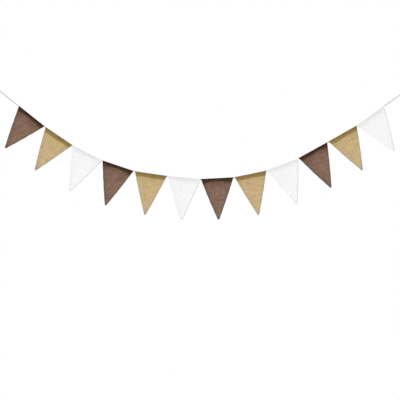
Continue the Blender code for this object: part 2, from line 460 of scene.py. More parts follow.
def new_material(name: str) -> tuple[Material, Wiring]:
    """Start a material.

    Args:
        name: Its name.

    Returns:
        The material and its wiring.
    """
    material = bpy.data.materials.new(name)
    material.use_nodes = True
    return material, Wiring(material.node_tree)


Colour = tuple[float, float, float, float]


def grey(level: float) -> Colour:
    """A grey of the given level."""
    return level, level, level, 1.0


@dataclass(frozen=True)
class ClothFinish:
    """One cloth: its two mixed hues, its colour in two layers, over the cord, at the hems and as painted
    shade at the edges, and its weave.

    left_hem_and_shade, right_hem_and_shade and below_flap say how much shows of the hemmed_and_shaded and
    doubled colours at each side and under the flap's edge. The hemmed_and_shaded colour is partly the hems'
    own colour and partly painted shade, which is why the two sides take unlike amounts. left_shade and
    right_shade are how much of it spreads inwards as painted shade, and tip_shade how much of it shows at the
    tip. hem_shown is how wide the hems show, and hem_over_flap how much of them shows on the flap.
    """

    single: Colour
    second: Colour
    double: Colour
    corded: Colour
    hemmed_and_shaded: Colour
    thread: Colour
    translucency: float
    mottle: float
    slubs: float
    sheen: float
    left_hem_and_shade: float
    right_hem_and_shade: float
    below_flap: float
    left_shade: float
    right_shade: float
    tip_shade: float
    hem_shown: float = 0.0050
    hem_over_flap: float = 0.0
    low_hue: float = 0.0
    threads_per_metre: float = 1250.0
    wander: float = 1.1

    def dress(self, name: str) -> Material:
        """Make the cloth's material.

        Args:
            name: Its name.

        Returns:
            The material: rough, a little sheen, and light that comes through from behind.
        """
        material, w = new_material(name)
        flat = w.flat()
        twists = {"Threads": self.threads_per_metre, "Wander": self.wander, "Slubs": self.slubs}
        yarn = w.effect(plain_weave_group(), flat, **twists)
        patches = w.effect(mottling_group(), flat, Amount=self.mottle)
        lower = w.calc("SUBTRACT", w.painted("low"), 0.5)
        hue = w.calc("MULTIPLY_ADD", lower, self.low_hue, patches["Patch"])
        colour = w.blend(hue, self.single, self.second)
        # The hem mask lays on the hemmed_and_shaded colour: the hems' own colour, and painted shade along the
        # sides and at the tip.
        for mask, shade in (("hem", self.hemmed_and_shaded), ("doubled", self.double), ("corded", self.corded)):
            colour = w.blend(w.painted(mask), colour, shade)
        tone = w.calc("MULTIPLY", yarn["Tone"], patches["Tone"])
        # Painted shade in the gaps between threads: the cloth is darker where the weave is open.
        gap_shade = w.calc("MULTIPLY_ADD", yarn["Openness"], -0.35, 1.02)
        colour = w.scaled(colour, w.calc("MULTIPLY", tone, gap_shade))
        normal = w.relief(yarn["Height"], 0.7, 0.0003)
        rough = w.calc("MULTIPLY_ADD", yarn["Height"], -0.1, 0.95)
        look = {"Base Color": colour, "Normal": normal, "Roughness": rough}
        skin = w.surface({**look, "Sheen Weight": self.sheen, "Sheen Roughness": 0.6})
        through = w.node("BsdfTranslucent", {"Color": colour, "Normal": normal})
        mixed = w.node("MixShader", {0: self.translucency, 1: skin, 2: through.outputs[0]})
        w.node("OutputMaterial", {"Surface": mixed.outputs[0]})
        return material


class Cloth(Enum):
    """The three cloths, by the name that the CAD's nodes use."""

    BROWN = "brown"
    TAN = "tan"
    WHITE = "white"

    @property
    def finish(self) -> ClothFinish:
        """The cloth's finish."""
        return CLOTH_FINISHES[self]

    @property
    def cut(self) -> "Cut":
        """How the cloth's pennants are cut."""
        return CUTS[self]

    @property
    def slot(self) -> str:
        """A material slot's name for it, made from the cloth's name."""
        return f"{self.value}_cloth"


# Each cloth's hemmed_and_shaded colour and its side and tip amounts are partly the hems' own colour and
# partly painted shade.
CLOTH_FINISHES = {
    Cloth.BROWN: ClothFinish(
        single=(0.235, 0.137, 0.107, 1.0),
        second=(0.225, 0.135, 0.078, 1.0),
        double=(0.066, 0.028, 0.012, 1.0),
        corded=(0.042, 0.017, 0.006, 1.0),
        hemmed_and_shaded=(0.132, 0.099, 0.080, 1.0),
        thread=(0.100, 0.062, 0.046, 1.0),
        translucency=0.12,
        mottle=0.48,
        slubs=0.55,
        sheen=0.05,
        left_hem_and_shade=0.9,
        right_hem_and_shade=0.4,
        below_flap=0.60,
        left_shade=0.95,
        right_shade=0.35,
        tip_shade=0.8,
        low_hue=0.9,
    ),
    Cloth.TAN: ClothFinish(
        single=(0.572, 0.402, 0.228, 1.0),
        second=(0.551, 0.416, 0.188, 1.0),
        double=(0.290, 0.197, 0.064, 1.0),
        corded=(0.232, 0.160, 0.058, 1.0),
        hemmed_and_shaded=(0.418, 0.357, 0.270, 1.0),
        thread=(0.480, 0.360, 0.190, 1.0),
        translucency=0.14,
        mottle=0.30,
        slubs=0.40,
        sheen=0.07,
        left_hem_and_shade=0.6,
        right_hem_and_shade=0.35,
        below_flap=0.25,
        left_shade=0.70,
        right_shade=0.50,
        tip_shade=1.0,
    ),
    Cloth.WHITE: ClothFinish(
        single=grey(0.857),
        second=grey(0.849),
        double=grey(0.805),
        corded=grey(0.765),
        hemmed_and_shaded=grey(0.560),
        thread=grey(0.840),
        translucency=0.12,
        mottle=0.015,
        slubs=0.05,
        sheen=0.08,
        left_hem_and_shade=0.05,
        right_hem_and_shade=1.0,
        below_flap=0.45,
        left_shade=0.04,
        right_shade=0.0,
        tip_shade=0.15,
        hem_shown=0.0034,
        hem_over_flap=1.0,
    ),
}


@dataclass(frozen=True)
class YarnFinish:
    """Twisted yarn: the cord, or sewing thread at its own size."""

    colour: Colour
    relief: float
    stain_and_fibre_shade: float = 0.5
    roughness: float = 0.9
    sheen: float = 0.15

    def dress(self, name: str) -> Material:
        """Make the yarn's material.

        Args:
            name: Its name.

        Returns:
            The material: fibres laid at a slant, with painted shade in the hollows between the strands.
        """
        material, w = new_material(name)
        fibres = w.effect(strand_fibre_group(), w.flat(), Amount=self.stain_and_fibre_shade)
        # Painted shade: darker where a point lies deep between the strands.
        hollow = w.calc("MULTIPLY_ADD", w.painted("hollow"), -0.45, 1.0)
        colour = w.scaled(self.colour[:3], w.calc("MULTIPLY", fibres["Tone"], hollow))
        look = {"Base Color": colour, "Normal": w.relief(fibres["Height"], 0.8, self.relief)}
        skin = w.surface({**look, "Roughness": self.roughness, "Sheen Weight": self.sheen})
        w.node("OutputMaterial", {"Surface": skin})
        return material


CORD_FINISH = YarnFinish(colour=(0.43, 0.423, 0.41, 1.0), relief=0.00025, stain_and_fibre_shade=0.85)


# How the pennants are cut and hang


@dataclass(frozen=True)
class Cut:
    """How one cloth is cut and threaded, as in the CAD.

    The width is taken at the casing and the drop from the cord to the tip. The flap is flap_depth deep at the
    sides, and its edge rises by flap_arch to the middle. The shift moves the casing along the cord. At each
    side turned_in is the cloth for the hem at the top, and hem_width what the finished hem takes. The fold is
    the cloth over the cord, and flap_mean the flap's mean width as a share of the casing's.
    """

    width: float
    drop: float
    flap_depth: float
    flap_arch: float
    shift: float
    tip_width: float = 0.0065
    turned_in: float = 0.0050
    hem_width: float = 0.0045
    fold: float = 0.0086
    flap_mean: float = 0.95

    def flat_size(self) -> tuple[float, float]:
        """Width and height of the piece as cut: with its hems, its flap and the fold round the cord."""
        return self.width + 2 * self.turned_in, self.drop + self.flap_depth + self.fold

    def flat_area(self) -> float:
        """Area of the piece as cut: the front's taper, the flap with the fold, and both hems.

        Returns:
            The area, in square metres.
        """
        front = (self.width + self.tip_width) / 2 * self.drop
        behind = self.flap_mean * self.width * (self.flap_depth + self.fold)
        return front + behind + 2 * self.hem_width * self.drop


CUTS = {
    Cloth.BROWN: Cut(width=0.1515, drop=0.1920, flap_depth=0.0195, flap_arch=0.0070, shift=-0.0007),
    Cloth.TAN: Cut(width=0.1500, drop=0.1935, flap_depth=0.0185, flap_arch=0.0010, shift=0.0),
    Cloth.WHITE: Cut(width=0.1550, drop=0.1965, flap_depth=0.0175, flap_arch=0.0010, shift=0.0008),
}


@dataclass(frozen=True)
class Hang:
    """How one pennant hangs: lean moves its tip along the cord, swing and belly move it to front or back."""

    cloth: Cloth
    lean: float
    swing: float
    belly: float
    ripple: float
    phase: float


# For each pennant, from left to right: lean, swing, belly, ripple and phase.
HANG_TABLE = (
    (-0.004, -0.004, 0.003, 0.0016, 0.4),
    (-0.003, 0.003, -0.002, 0.0020, 1.9),
    (0.006, 0.002, 0.002, 0.0022, 3.1),
    (0.003, -0.003, 0.003, 0.0018, 4.6),
    (0.000, 0.004, -0.003, 0.0016, 0.9),
    (0.005, -0.002, 0.002, 0.0024, 2.4),
    (-0.004, 0.002, -0.003, 0.0018, 5.3),
    (-0.002, -0.004, 0.002, 0.0020, 3.7),
    (-0.006, 0.003, -0.002, 0.0022, 1.2),
    (-0.011, -0.002, 0.003, 0.0016, 2.9),
    (-0.003, 0.004, -0.002, 0.0018, 4.1),
    (-0.008, -0.003, 0.002, 0.0022, 5.8),
)
HANGS = tuple(Hang(cloth, *row) for cloth, row in zip(tuple(Cloth) * 4, HANG_TABLE))


# The cord


ROUTE = (
    (0.0361, -0.0293),
    (0.1427, -0.1158),
    (0.2682, -0.2154),
    (0.3970, -0.3028),
    (0.5345, -0.3729),
    (0.6866, -0.4239),
    (0.8421, -0.4466),
    (0.9970, -0.4613),
    (1.1548, -0.4526),
    (1.3088, -0.4209),
    (1.4554, -0.3640),
    (1.5958, -0.2860),
    (1.7323, -0.2089),
    (1.8555, -0.1187),
    (1.9547, -0.0481),
)


@dataclass
class CordRun:
    """Where the cord runs, from the left knot to the right one: the CAD's route with more points on it."""

    route: tuple[tuple[float, float], ...] = ROUTE
    steps_in_casing: int = 40
    steps_in_gap: int = 6
    steps_in_tail: int = 40
    line: Array = field(init=False)
    casings: list[tuple[int, int]] = field(init=False)

    def __post_init__(self) -> None:
        """Work out the line, and where in it each casing starts and stops."""
        route = np.array([(x, 0.0, z) for x, z in self.route])
        cuts = [hang.cloth.cut for hang in HANGS]
        along = unit(route[2:-1] - route[1:-2])
        middles = (route[1:-2] + route[2:-1]) / 2 + along * np.array([[cut.shift] for cut in cuts])
        halves = along * np.array([[cut.width / 2] for cut in cuts])
        ends = np.stack([middles - halves, middles + halves], axis=1).reshape(-1, 3)
        marks = np.vstack([route[:1], ends, route[-1:]])
        steps = [self.steps_in_casing if i % 2 else self.steps_in_gap for i in range(len(marks) - 1)]
        steps[0] = steps[-1] = self.steps_in_tail
        self.line = smooth_line(marks, steps)
        starts = np.concatenate([[0], np.cumsum(steps)])
        self.casings = [(int(starts[i]), int(starts[i + 1])) for i in range(1, len(steps), 2)]


@dataclass
class TwistedCord:
    """Three strands laid round each other into a cord.

    Round the cord, the outline of the nearest strand is d cos(a) + sqrt(r^2 - (d sin(a))^2), for a strand of
    radius r whose centre stands d from the cord's own, at the angle a from it. The outline turns steadily
    along the cord.
    """

    radius: float = 0.00175
    turn_length: float = 0.013
    sides: int = 18
    strands: int = 3
    ring_spacing: float = 0.00075
    strand_share: float = 0.464
    shallowest: float = 0.77
    end_round: float = 0.0008
    end_share: float = 0.12

    def outline(self) -> tuple[Array, Array]:
        """One ring of the cord.

        Returns:
            The angle of each of its points, and their radius as a share of the cord's.
        """
        angles = np.arange(self.sides) * math.tau / self.sides
        part = math.tau / self.strands
        from_strand = (angles + part / 2) % part - part / 2
        offset = 1 - self.strand_share
        inside = np.maximum(self.strand_share**2 - (offset * np.sin(from_strand)) ** 2, 0.0)
        reach = offset * np.cos(from_strand) + np.sqrt(inside)
        return angles, np.maximum(reach, self.shallowest)

    def build(self, name: str, line: Array, material: Material) -> tuple[Object, Array]:
        """Carry the outline along a line and close both ends with a shallow dome.

        Args:
            name: Name of the piece.
            line: The centreline, as close as it needs to be.
            material: The cord's finish.

        Returns:
            The object, and its rings' centres.
        """
        centres = even_line(line, self.ring_spacing)
        along = distances(centres)
        first, second = carried_frames(centres)
        angles, reach = self.outline()
        turned = angles[None] + math.tau * along[:, None] / self.turn_length
        ends = quarter_round(np.minimum(along, along[-1] - along), self.end_round, self.end_share)
        size = self.radius * reach[None] * ends[:, None]
        rings = circled(centres, first, second, turned, size)
        rows, sides = len(centres), self.sides
        points = np.vstack([rings.reshape(-1, 3), centres[:1], centres[-1:]])
        index = np.arange(rows * sides).reshape(rows, sides)
        wrapped = np.hstack([index, index[:, :1]])
        turns = np.arange(sides + 1) / sides
        pairs = np.stack(np.broadcast_arrays(turns[None], along[:, None]), axis=-1)
        start = np.stack([np.full(sides, rows * sides), wrapped[0, 1:], wrapped[0, :-1]], axis=1)
        stop = np.stack([np.full(sides, rows * sides + 1), wrapped[-1, :-1], wrapped[-1, 1:]], axis=1)
        cap_uvs = np.zeros((sides, 3, 2))
        cap_uvs[:, 1:, 0] = np.stack([turns[1:], turns[:-1]], axis=1)
        # How deep each point lies between the strands, for the painted shade in the hollows.
        hollow = np.clip((1 - reach) / (1 - self.shallowest), 0.0, 1.0)
        values = np.concatenate([np.tile(hollow, rows), [0.0, 0.0]])
        parts = MeshParts()
        parts.add(
            points,
            [grid_quads(wrapped), start, stop],
            [grid_uvs(pairs), cap_uvs, cap_uvs + np.array([0.0, along[-1]])],
            hollow=values,
        )
        return parts.to_object(name, material), centres


@dataclass
class EndTie:
    """The cord's tied end: its way through the knot, the drop-shaped loop, the wraps and the free end.

    Sizes of the wraps, and the ways through the knot, are in cord diameters.
    """

    name: str
    node: str
    knot: Array
    pull: Array
    cord: TwistedCord
    reach: float = 0.04825
    swell: float = 0.017
    loop_root: float = 0.00375
    wraps: float = 3.5
    wrap_radius: float = 1.05
    wrap_pitch: float = 0.967
    wrap_start: float = 1.467

    def loop(self) -> Array:
        """The loop in the knot's own frame, where z points outwards.

        Over one turn t the distance from the knot goes with the square of sin(t/2), and the width with sin(t)
        times sin(t/2).

        Returns:
            Its points, out from the knot and back.
        """
        t = math.tau * np.linspace(0.105, 0.885, 40)
        swell = np.sin(t / 2)
        side = self.swell * np.sin(t) * swell
        out = self.loop_root + (self.reach - self.loop_root) * swell**2
        return np.stack([side, np.zeros_like(t), out], axis=1)

    def wrapping(self) -> Array:
        """The wraps: a helix round the knot's core from its outward end to its inward one.

        Returns:
            Its points.
        """
        turns = np.linspace(0.14, self.wraps, 56)
        turn = math.tau * turns
        out = self.wrap_start - self.wrap_pitch * turns
        return np.stack([-self.wrap_radius * np.cos(turn), -self.wrap_radius * np.sin(turn), out], axis=1)

    def line(self) -> Array:
        """The whole way of the cord's end.

        Returns:
            Its points, in the row frame.
        """
        size = 2 * self.cord.radius
        core = np.array([(0, 0, -0.17), (0, 0, 0.5), (0.03, 0, 1.0), (0.25, 0, 1.53), (0.6, 0, 1.95)])
        entry = np.array([(-1.09, -0.04, 2.25), (-1.04, -0.25, 1.9), (-0.883, -0.583, 1.567)])
        leaving = [(1.007, 0.33, -2.15), (1.05, 0.52, -2.53), (1.28, 0.52, -3.1), (1.73, 0.45, -3.9)]
        leaving = np.array([*leaving, (2.2, 0.4, -4.7), (2.75, 0.4, -5.5)])
        wound = np.vstack([entry, self.wrapping(), leaving])
        local = np.vstack([size * core, self.loop(), size * wound])
        smooth = smooth_line(local, [6] * (len(local) - 1))
        lower = math.copysign(1.0, self.pull[0]) * np.array([self.pull[2], 0.0, -self.pull[0]])
        return self.knot + smooth @ np.stack([lower, [0.0, 1.0, 0.0], self.pull])

    def build(self, material: Material) -> Object:
        """Make the tie from the same cord and let it stand for the CAD's solid.

        Args:
            material: The cord's finish.

        Returns:
            The tie.
        """
        obj, _ = self.cord.build(self.name, self.line(), material)
        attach(obj, "root")
        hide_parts(self.node)
        return obj


@dataclass
class HangingCord:
    """The cord with its two tied ends."""

    run: CordRun
    name: str = "hanging_cord"
    length: float = 2.14
    into_knot: float = 0.0012
    tie_ring_spacing: float = 0.0005
    cord: TwistedCord = field(default_factory=TwistedCord)

    def pulls(self) -> tuple[Array, Array]:
        """The outward directions in which the bare ends pull, over the last quarter of each.

        Returns:
            The left end's direction and the right end's.
        """
        line = self.run.line
        step = self.run.steps_in_tail // 4
        return unit(line[0] - line[step]), unit(line[-1] - line[-1 - step])

    def build(self) -> list[Object]:
        """Make the cord and its ties.

        Returns:
            The cord, the left tie and the right tie.
        """
        material = CORD_FINISH.dress("cord_yarn")
        left_pull, right_pull = self.pulls()
        line = self.run.line.copy()
        line[0] -= left_pull * self.into_knot
        line[-1] -= right_pull * self.into_knot
        obj, centres = self.cord.build(self.name, line, material)
        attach(obj, "root")
        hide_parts("cord")
        close = TwistedCord(ring_spacing=self.tie_ring_spacing)
        left = EndTie("left_tie", "left_loop", self.run.line[0], left_pull, close).build(material)
        right = EndTie("right_tie", "right_loop", self.run.line[-1], right_pull, close).build(material)
        return [obj, left, right]


# The pennants


@dataclass
class Layout:
    """Where a pennant's grid points lie on its cloth, by row and column.

    depth is taken down from the cord, and share is the same as a part of the drop. turn goes from 0 in front
    through the fold to 1 behind, and flap from 0 at the seam behind to 1 at the flap's end. x is the place
    across, across the same from -1 to 1, and from_side the distance from the nearer side.
    """

    depth: Array
    share: Array
    turn: Array
    flap: Array
    x: Array
    across: Array
    from_side: Array


@dataclass
class ClothGrid:
    """A pennant's cloth as arrays by row and column: its middle surface, its faces, and its masks."""

    middle: Array
    normal: Array
    flat: Array
    from_side: Array
    outer: Array
    inner: Array
    masks: dict[str, Array]

    def between(self, values: Array, rows: Array, columns: Array) -> Array:
        """Values between the grid's points: each the weighted mean of the four around it.

        Args:
            values: Numbers or vectors by row and column.
            rows: The rows to read at, which may lie between two.
            columns: The columns to read at.

        Returns:
            The values there.
        """
        r = np.clip(np.floor(rows).astype(int), 0, values.shape[0] - 2)
        c = np.clip(np.floor(columns).astype(int), 0, values.shape[1] - 2)
        down, across = rows - r, columns - c
        if values.ndim == 3:
            down, across = down[:, None], across[:, None]
        upper = values[r, c] * (1 - across) + values[r, c + 1] * across
        lower = values[r + 1, c] * (1 - across) + values[r + 1, c + 1] * across
        return upper * (1 - down) + lower * down


def crumpled(x: Array, y: Array, phase: float) -> Array:
    """Slight creases: five plane waves, 17 to 41 mm long, that cross at odd angles and bend each other.

    Args:
        x: Place across, in millimetres.
        y: Place down, in millimetres.
        phase: What sets one cloth's creases apart from another's.

    Returns:
        Their height, from about -1 to 1.
    """
    total = np.zeros(np.broadcast(x, y).shape)
    bend = 1.4 * np.sin(math.tau * (x - 0.6 * y) / 83 + 3 * phase)
    waves = ((41, 0.3, 0.34), (33, 1.4, 0.26), (26, 2.3, 0.18), (21, 0.9, 0.13), (17, 2.8, 0.09))
    for length, turn, share in waves:
        way = turn + 0.5 * math.sin(phase * length)
        place = (x * math.cos(way) + y * math.sin(way)) / length
        total = total + share * np.sin(math.tau * place + bend + phase * length)
    return total


@dataclass
class Pennant:
    """One pennant: cloth cut to a point, hemmed at its sides and sewn over the cord, with its flap behind."""

    number: int
    hang: Hang
    cord: Array
    side_bulge: float = 0.0017
    seam_depth: float = 0.0095
    corded_reach: float = 0.003
    flap_blur: float = 0.0008
    flap_fade: float = 0.022
    left_fade: float = 0.014
    right_fade: float = 0.010
    tip_shade_from: float = 0.026
    tip_shade_full: float = 0.009
    flap_uneven: float = 0.0012
    flap_lift: float = 0.0007
    casing_radius: float = 0.00275
    half_thickness: float = 0.00035
    hem_extra: float = 0.0005
    hem_from: float = 0.0051
    hem_full: float = 0.0042
    layers_apart: float = 0.0008
    hems_apart: float = 0.0019
    apart_from: float = 0.011
    apart_full: float = 0.004
    tip_round: float = 0.003
    tip_share: float = 0.12
    narrow_half: float = 0.0085
    side_rim: float = 0.0006
    end_rim: float = 0.0005
    pucker: float = 0.0003
    pucker_length: float = 0.0155
    pucker_drift: float = 0.061
    pucker_reach: float = 0.009
    pucker_from: float = 0.002
    crumple: float = 0.00035
    crumple_from: float = 0.02
    crumple_full: float = 0.06
    frill: float = 0.0005
    frill_length: float = 0.023
    frill_reach: float = 0.022
    frill_from: float = 0.018
    frill_full: float = 0.05
    side_wave: float = 0.0003
    side_wave_length: float = 0.047
    pattern_shift: tuple[float, float] = (0.37, 0.53)
    stitch_pitch: float = 0.0030
    stitches_below_seam: float = 0.0012
    stitches_from_side: float = 0.0034
    thread_radius: float = 0.00020
    thread_sides: int = 5

    @property
    def cut(self) -> Cut:
        """How the pennant is cut."""
        return self.hang.cloth.cut

    def half_width(self, share: Array) -> Array:
        """Half the width at a share of the drop: a straight taper, with sides that bulge by half a sine."""
        taper = self.cut.width + (self.cut.tip_width - self.cut.width) * share
        return taper / 2 + self.side_bulge * np.sin(math.pi * share)

    def flap_edge(self, across: Array) -> Array:
        """Depth of the flap's end: it rises in the middle by a parabola, and wavers."""
        arch = self.cut.flap_arch * (1 - across**2)
        return self.cut.flap_depth - arch + self.flap_uneven * np.sin(5.0 * across + self.hang.phase)

    def rows(self) -> tuple[Array, Array, Array]:
        """What each row stands for: close rows at the tip, at the folded top and at the flap's end.

        Returns:
            Its depth below the cord, how far through the fold it is from front (0) to back (1), and its share
            of the flap, which is 0 down to the seam behind and 1 at the flap's end.
        """
        tip = self.cut.drop - np.array([0.0, 0.0002, 0.0006, 0.0013, 0.0023, 0.0036])
        lower = np.linspace(self.cut.drop - 0.005, 0.026, 60)
        upper = np.linspace(0.0253, self.seam_depth, 30)
        body = np.concatenate([tip, lower, upper])
        neck = self.seam_depth * (1 - np.arange(1, 6) / 6)
        fold = np.linspace(0.0, 1.0, 15)
        flap = np.concatenate([np.linspace(0.0, 0.88, 9), [0.94, 0.975, 0.99, 1.0]])
        depth = np.concatenate([body, neck, 0 * fold, neck[::-1], 0 * flap + self.seam_depth])
        turn = np.concatenate([0 * body, 0 * neck, fold, 0 * neck + 1, 0 * flap + 1])
        share = np.concatenate([0 * body, 0 * neck, 0 * fold, 0 * neck, flap])
        return depth, turn, share

    def columns(self, half: Array) -> tuple[Array, Array]:
        """Where the columns lie in rows of the given half width, one number to a row.

        Close ones follow each side's hem, squeezed together where the pennant is narrow, and even ones fill
        the middle.

        Args:
            half: The rows' half widths.

        Returns:
            Each point's distance across from the middle line, and from the nearer side.
        """
        close = np.array([0.0, 0.0002, 0.0006, 0.0014, 0.0026, 0.0036, 0.0043, 0.0048, 0.0054])
        squeeze = np.minimum(1.0, half / self.narrow_half)
        side = close * squeeze
        even = np.linspace(-1.0, 1.0, 44)[1:-1] * (half - side[:, -1:])
        x = np.hstack([side - half, even, half - side[:, ::-1]])
        return x, (half - np.abs(x)) / squeeze

    def layout(self) -> Layout:
        """Lay the grid's points out on the cloth, whose width narrows from the casing to a rounded tip.

        Returns:
            The layout.
        """
        depth, turn, flap = (part[:, None] for part in self.rows())
        rounding = quarter_round(self.cut.drop - depth, self.tip_round, self.tip_share)
        half = self.half_width(depth / self.cut.drop) * rounding
        x, from_side = self.columns(half)
        across = np.clip(x / half, -1.0, 1.0)
        depth = depth + flap * (self.flap_edge(across) - self.seam_depth)
        share = depth / self.cut.drop
        x = across * self.half_width(share) * rounding
        return Layout(depth, share, turn, flap, x, across, from_side)

    def section(self, lay: Layout) -> tuple[Array, Array]:
        """The cloth seen from its end, before it hangs.

        The front comes up just before the cord's own plane, and further from it at the hems. It widens by a
        smooth step over the neck, goes over the cord in a half circle and comes down behind as the flap,
        which stands off a little.

        Args:
            lay: Where the points lie on the cloth.

        Returns:
            How far each point lies to the back, and how far up, from the cord.
        """
        at_hem = smoothstep(lay.from_side, self.apart_from, self.apart_full)
        apart = (self.layers_apart + (self.hems_apart - self.layers_apart) * at_hem) / 2
        away = apart + (self.casing_radius - apart) * smoothstep(lay.depth, self.seam_depth, 0.0)
        angle = math.pi * (1 - lay.turn)
        folded = (lay.depth <= 0.0) & (lay.turn > 0) & (lay.turn < 1)
        y = np.where(folded, self.casing_radius * np.cos(angle), np.where(lay.turn < 0.5, -away, away))
        y = y + self.flap_lift * lay.flap * (1 + 0.7 * np.sin(9.0 * lay.across + self.hang.phase))
        return y, np.where(folded, self.casing_radius * np.sin(angle), -lay.depth)

    def drape(self, lay: Layout) -> Array:
        """How the cloth hangs out of its plain section.

        It sways with its depth, bellies in between, ripples across, puckers beside the seam, creases slightly
        below the flap and frills along its sides.

        Args:
            lay: Where the points lie on the cloth.

        Returns:
            How far each point lies to the back of its place in the section.
        """
        hang = self.hang
        y = hang.swing * lay.share
        y = y + hang.belly * np.sin(math.pi * lay.share) * (1 - 0.6 * lay.across**2)
        y = y + hang.ripple * lay.share * (1.3 - lay.share) * np.sin(4.2 * lay.across + hang.phase)
        drawn = np.exp(-np.abs(lay.depth - self.seam_depth) / self.pucker_reach)
        drawn = drawn * smoothstep(lay.depth, self.pucker_from, self.seam_depth)
        unevenly = hang.phase + 1.6 * wave(lay.x, self.pucker_drift, hang.phase)
        y = y + self.pucker * drawn * wave(lay.x, self.pucker_length, unevenly)
        creases = crumpled(lay.x * 1000, lay.depth * 1000, hang.phase)
        y = y + self.crumple * creases * smoothstep(lay.depth, self.crumple_from, self.crumple_full)
        near_side = smoothstep(lay.from_side, self.frill_reach, 0.0)
        near_side = near_side * smoothstep(lay.depth, self.frill_from, self.frill_full)
        frill = wave(lay.depth, self.frill_length, 2 * hang.phase + 1.3 * np.sign(lay.across))
        return y + self.frill * frill * near_side * (1 - lay.share)

    def faces(self, lay: Layout) -> tuple[Array, Array]:
        """The cloth's two faces beside its middle surface.

        The cloth is round at its edges, and a hem is thicker towards the inner side.

        Args:
            lay: Where the points lie on the cloth.

        Returns:
            How far the outer and the inner face lie from it, along its normal.
        """
        rim = quarter_round(lay.from_side, self.side_rim)
        # The tip ends the front and the flap's edge ends the back, and for the other one each is far off.
        far = 1.0
        from_tip = self.cut.drop - lay.depth + far * lay.turn
        from_flap = (1 - lay.flap) * (self.flap_edge(lay.across) - self.seam_depth) + far * (lay.turn < 1)
        for gap in (from_tip, from_flap):
            rim = rim * quarter_round(gap, self.end_rim)
        extra = self.hem_extra * smoothstep(lay.from_side, self.hem_from, self.hem_full)
        half = (self.half_thickness + extra / 2) * rim
        return half - extra / 2, -half - extra / 2

    def masks(self, lay: Layout) -> dict[str, Array]:
        """What the material reads for each point.

        doubled is 1 where the flap lies behind and fades below it, corded is 1 over the cord, hem tells how
        much of the hemmed_and_shaded colour shows: over the hems, as painted shade spreading in from the
        sides, and at the tip. low is the share of the drop.

        Args:
            lay: Where the points lie on the cloth.

        Returns:
            For each mask's name, its values.
        """
        finish = self.hang.cloth.finish
        edge = self.flap_edge(lay.across)
        faded = finish.below_flap * np.exp(-np.clip(lay.depth - edge, 0.0, None) / self.flap_fade)
        doubled = smoothstep(lay.depth, edge + self.flap_blur, edge - self.flap_blur)
        doubled = np.where(lay.turn > 0.0, 1.0, np.maximum(doubled, faded))
        # Painted shade: the hemmed_and_shaded colour over each hem band and spreading in from the sides, in
        # unlike amounts at left and right, and over the tip.
        hemmed_and_shaded = smoothstep(lay.from_side, finish.hem_shown, finish.hem_shown * 0.6)
        left = finish.left_shade * np.exp(-lay.from_side / self.left_fade)
        left = np.maximum(hemmed_and_shaded * finish.left_hem_and_shade, left)
        right = finish.right_shade * np.exp(-lay.from_side / self.right_fade)
        right = np.maximum(hemmed_and_shaded * finish.right_hem_and_shade, right)
        tip = self.cut.drop
        at_tip = smoothstep(lay.depth, tip - self.tip_shade_from, tip - self.tip_shade_full)
        hem = np.maximum(np.where(lay.across < 0, left, right), finish.tip_shade * at_tip)
        return {
            "doubled": doubled * (1 - finish.hem_over_flap * hem),
            "corded": smoothstep(lay.depth, self.seam_depth, self.seam_depth - self.corded_reach),
            "hem": hem,
            "low": lay.share,
        }

    def grid(self) -> ClothGrid:
        """Hang the cloth on its stretch of cord.

        The casing follows the cord's own small bow, which fades out down to the tip. The lean moves the cloth
        along the cord with its depth, and the sides waver a little.

        Returns:
            The grid.
        """
        lay = self.layout()
        start, stop = self.cord[0], self.cord[-1]
        middle = (start + stop) / 2
        along = unit(stop - start)
        up = np.array([-along[2], 0.0, along[0]])
        y, z = self.section(lay)
        bow = np.interp(lay.x, (self.cord - middle) @ along, (self.cord - middle) @ up)
        z = z + bow * (1 - lay.share)
        sideways = wave(lay.depth, self.side_wave_length, self.hang.phase) * np.sin(math.pi * lay.share)
        x = lay.x + self.side_wave * lay.across * sideways
        surface = middle + (x + self.hang.lean * lay.share)[..., None] * along + z[..., None] * up
        surface[..., 1] += y + self.drape(lay)
        normal = unit(np.cross(np.gradient(surface, axis=1), np.gradient(surface, axis=0)))
        down = distances(surface[:, surface.shape[1] // 2])[:, None]
        down = down + lay.flap * (self.flap_edge(lay.across) - self.flap_edge(0 * lay.across))
        flat = np.stack([x, down], axis=-1) + np.array(self.pattern_shift) * self.number
        return ClothGrid(surface, normal, flat, lay.from_side, *self.faces(lay), self.masks(lay))

    def build(self, material: Material, thread: Material) -> list[Object]:
        """Make the cloth with its thickness, and the sewing on it.

        Args:
            material: The cloth.
            thread: The sewing thread.

        Returns:
            The cloth and the sewing.
        """
        grid = self.grid()
        rows, columns = grid.from_side.shape
        front = grid.middle + grid.normal * grid.outer[..., None]
        back = grid.middle + grid.normal * grid.inner[..., None]
        index = np.arange(rows * columns).reshape(rows, columns)
        other = index.copy()
        within = np.arange((rows - 2) * (columns - 2)).reshape(rows - 2, columns - 2)
        other[1:-1, 1:-1] = rows * columns + within
        values = {name: np.concatenate([v.ravel(), v[1:-1, 1:-1].ravel()]) for name, v in grid.masks.items()}
        parts = MeshParts()
        parts.add(
            np.vstack([front.reshape(-1, 3), back[1:-1, 1:-1].reshape(-1, 3)]),
            [grid_quads(index), grid_quads(other)[:, ::-1]],
            [grid_uvs(grid.flat), grid_uvs(grid.flat)[:, ::-1]],
            **values,
        )
        cloth = self.hang.cloth
        obj = parts.to_object(f"{cloth.value}_pennant_{self.number:02d}", material)
        sewing = self.sewing(grid, thread)
        for piece in (obj, sewing):
            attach(piece, "root")
        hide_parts(f"pennant_{self.number:02d}_{cloth.value}")
        cloth.cut.flat_size()
        cloth.cut.flat_area()
        return [obj, sewing]

